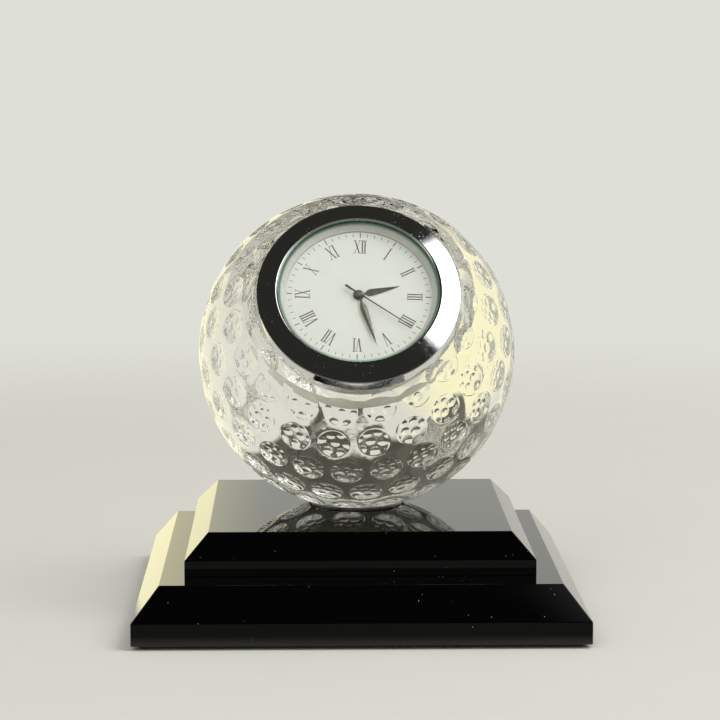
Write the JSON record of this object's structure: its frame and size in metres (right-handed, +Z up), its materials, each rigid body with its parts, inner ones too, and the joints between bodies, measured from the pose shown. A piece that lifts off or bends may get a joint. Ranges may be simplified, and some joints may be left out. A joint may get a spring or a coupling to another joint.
{
  "type": "desk clock",
  "caption": "Desk clock: a round chrome insert clock set at a slant in a clear dimpled glass ball on a two-tier bevelled black glass base.",
  "frame": {"origin": "middle of the base's underside, at the centre of the bounding box's bottom", "axes": "+Z up, the dial faces -Y and up, +X towards three o'clock"},
  "size_m": [0.081, 0.081, 0.077],
  "materials": {
    "black_glass": "polished black glass",
    "clear_glass": "clear pressed and polished glass",
    "lens_glass": "clear flat glass, green at its edge",
    "clear_glue": "clear cured adhesive",
    "chrome": "bright polished chrome",
    "steel": "plain steel",
    "brass": "plain brass",
    "hand_metal": "dark olive-grey lacquered metal, satin",
    "dial_silver": "silver-white matt lacquer with black print",
    "ring_grey": "grey satin plastic",
    "black_plastic": "black moulded plastic",
    "white_plastic": "off-white moulded plastic",
    "rubber": "black rubber",
    "felt": "black felt",
    "board": "green lacquered circuit board",
    "copper": "lacquered copper wire"
  },
  "bodies": {
    "root": {"base_pad": "felt", "lower_tier": "black_glass", "upper_tier": "black_glass", "ball_adhesive": "clear_glue", "glass_ball": "clear_glass"},
    "grip": {"grip_ring": "rubber"},
    "insert": {"bezel": "chrome", "lens": "lens_glass", "dial_ring": "ring_grey", "dial": "dial_silver", "case_barrel": "steel", "back_cover": "steel", "movement_holder": "white_plastic", "main_plate": "black_plastic", "train_bridge": "black_plastic", "circuit_board": "board", "button_cell": "steel", "battery_strap": "steel", "stator": "steel", "coil_core": "steel", "coil_winding": "copper", "crystal_can": "steel", "bridge_screw_1": "steel", "bridge_screw_2": "steel", "bridge_screw_3": "steel", "strap_screw": "steel"},
    "seconds": {"second_wheel": "brass", "second_hand": "hand_metal"},
    "third": {"third_wheel": "brass"},
    "minutes": {"centre_wheel": "brass", "minute_hand": "hand_metal"},
    "motion": {"minute_wheel": "brass"},
    "hours": {"hour_wheel": "brass", "hour_hand": "hand_metal"},
    "intermediate": {"intermediate_wheel": "white_plastic"},
    "rotor": {"rotor": "steel"},
    "setting": {"setting_lever": "steel"},
    "crown": {"stem": "steel", "crown": "chrome"}
  },
  "joints": [
    {"name": "insert_slide", "type": "slide", "parent": "root", "child": "grip", "axis": [0, -0.8161, 0.5779], "range_m": [0, 0.02]},
    {"name": "insert_turn", "type": "hinge", "parent": "grip", "child": "insert", "pos_m": [0, -0.01154, 0.05914], "axis": [0, 0.8161, -0.5779], "continuous": true},
    {"name": "second_spin", "type": "hinge", "parent": "insert", "child": "seconds", "pos_m": [0, -0.01154, 0.05914], "axis": [0, 0.8161, -0.5779], "continuous": true},
    {"name": "third_spin", "type": "hinge", "parent": "insert", "child": "third", "pos_m": [-0.00229, -0.01071, 0.0603], "axis": [0, 0.8161, -0.5779], "continuous": true},
    {"name": "minute_spin", "type": "hinge", "parent": "insert", "child": "minutes", "pos_m": [0, -0.01154, 0.05914], "axis": [0, 0.8161, -0.5779], "continuous": true},
    {"name": "motion_spin", "type": "hinge", "parent": "insert", "child": "motion", "pos_m": [0.0022, -0.01234, 0.05801], "axis": [0, 0.8161, -0.5779], "continuous": true},
    {"name": "hour_spin", "type": "hinge", "parent": "insert", "child": "hours", "pos_m": [0, -0.01154, 0.05914], "axis": [0, 0.8161, -0.5779], "continuous": true},
    {"name": "intermediate_spin", "type": "hinge", "parent": "insert", "child": "intermediate", "pos_m": [0.0014, -0.01025, 0.06096], "axis": [0, 0.8161, -0.5779], "continuous": true},
    {"name": "rotor_spin", "type": "hinge", "parent": "insert", "child": "rotor", "pos_m": [0.00111, -0.00904, 0.06266], "axis": [0, 0.8161, -0.5779], "continuous": true},
    {"name": "crown_pull", "type": "slide", "parent": "insert", "child": "setting", "axis": [0.9994, -0.0202, -0.0285], "range_m": [0, 0.0007]},
    {"name": "crown_turn", "type": "hinge", "parent": "setting", "child": "crown", "pos_m": [0.01649, -0.00922, 0.05678], "axis": [0.9994, -0.0202, -0.0285], "continuous": true}
  ],
  "couplings": [
    {"joint": "third_spin", "follows": "second_spin", "ratio": -0.13333},
    {"joint": "minute_spin", "follows": "second_spin", "ratio": 0.016667},
    {"joint": "motion_spin", "follows": "second_spin", "ratio": -0.0055556},
    {"joint": "hour_spin", "follows": "second_spin", "ratio": 0.0013889},
    {"joint": "intermediate_spin", "follows": "second_spin", "ratio": -5},
    {"joint": "rotor_spin", "follows": "second_spin", "ratio": 30}
  ]
}
